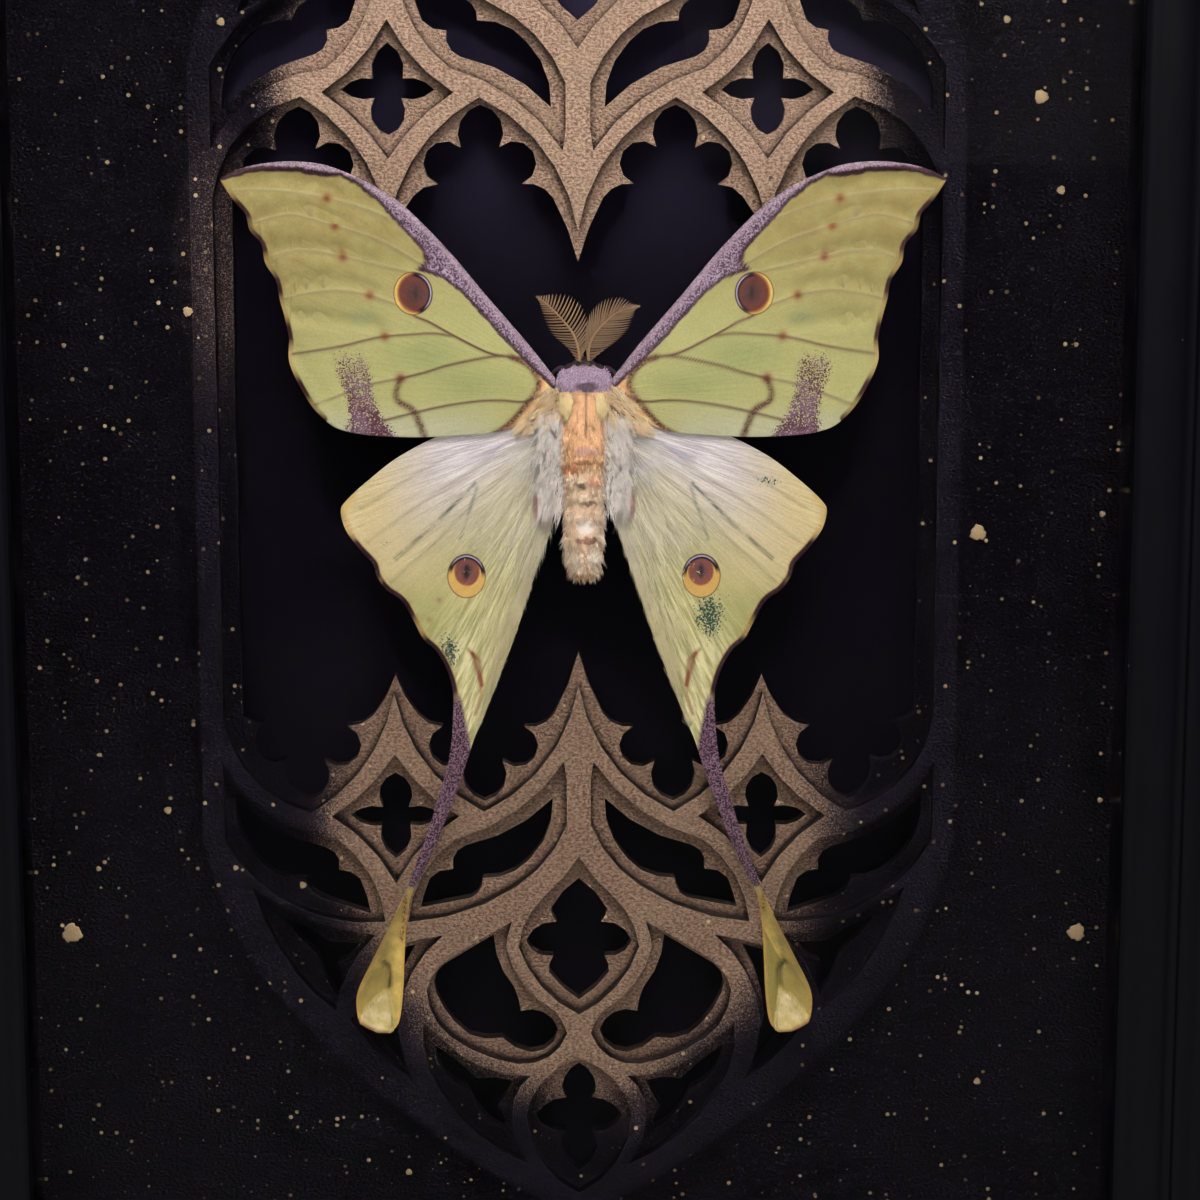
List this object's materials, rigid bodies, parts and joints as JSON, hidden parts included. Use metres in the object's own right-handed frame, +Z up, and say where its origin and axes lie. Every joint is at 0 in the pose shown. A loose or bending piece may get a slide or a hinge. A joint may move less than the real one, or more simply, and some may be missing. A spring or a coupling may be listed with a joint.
{
  "type": "framed moth specimen",
  "caption": "Spread moon moth pinned in front of layered pointed-arch tracery, in a deep dark moulded frame behind glass.",
  "frame": {"origin": "middle of the underside of the whole object, on the surface it stands on", "axes": "+X to the viewer's right, +Y towards the back, +Z up along the frame's long side"},
  "size_m": [0.2384, 0.0426, 0.3909],
  "materials": {
    "moulding": "satin black lacquer",
    "glass": "clear polished",
    "spacer": "gloss black",
    "bars": "matte gold spray over black",
    "mat": "matte black with gold overspray and flecks",
    "background": "smooth dark blue-black",
    "backing": "plain fibreboard",
    "steel": "plain",
    "hanger": "thin plated",
    "pin": "black enamelled",
    "fur": "cream and pink scale fur",
    "forewing": "powdery yellow-green scales",
    "hindwing": "powdery cream and yellow-green scales",
    "antenna": "matte tan"
  },
  "bodies": {
    "root": {"rail_left": "moulding", "rail_right": "moulding", "rail_top": "moulding", "rail_bottom": "moulding", "glass_pane": "glass", "front_spacer_left": "spacer", "front_spacer_right": "spacer", "front_spacer_top": "spacer", "front_spacer_bottom": "spacer", "rear_spacer_left": "spacer", "rear_spacer_right": "spacer", "rear_spacer_top": "spacer", "rear_spacer_bottom": "spacer", "bar_tracery": "bars", "mat_board": "mat", "background_board": "background", "backing_board": "backing", "retaining_tab_left_1": "steel", "retaining_tab_left_2": "steel", "retaining_tab_left_3": "steel", "retaining_tab_right_1": "steel", "retaining_tab_right_2": "steel", "retaining_tab_right_3": "steel", "sawtooth_hanger": "hanger", "hanger_nail_left": "steel", "hanger_nail_right": "steel", "mounting_pin": "pin", "moth_body": "fur", "forewing_left": "forewing", "forewing_right": "forewing", "hindwing_left": "hindwing", "hindwing_right": "hindwing", "antenna_left": "antenna", "antenna_right": "antenna"}
  },
  "joints": []
}
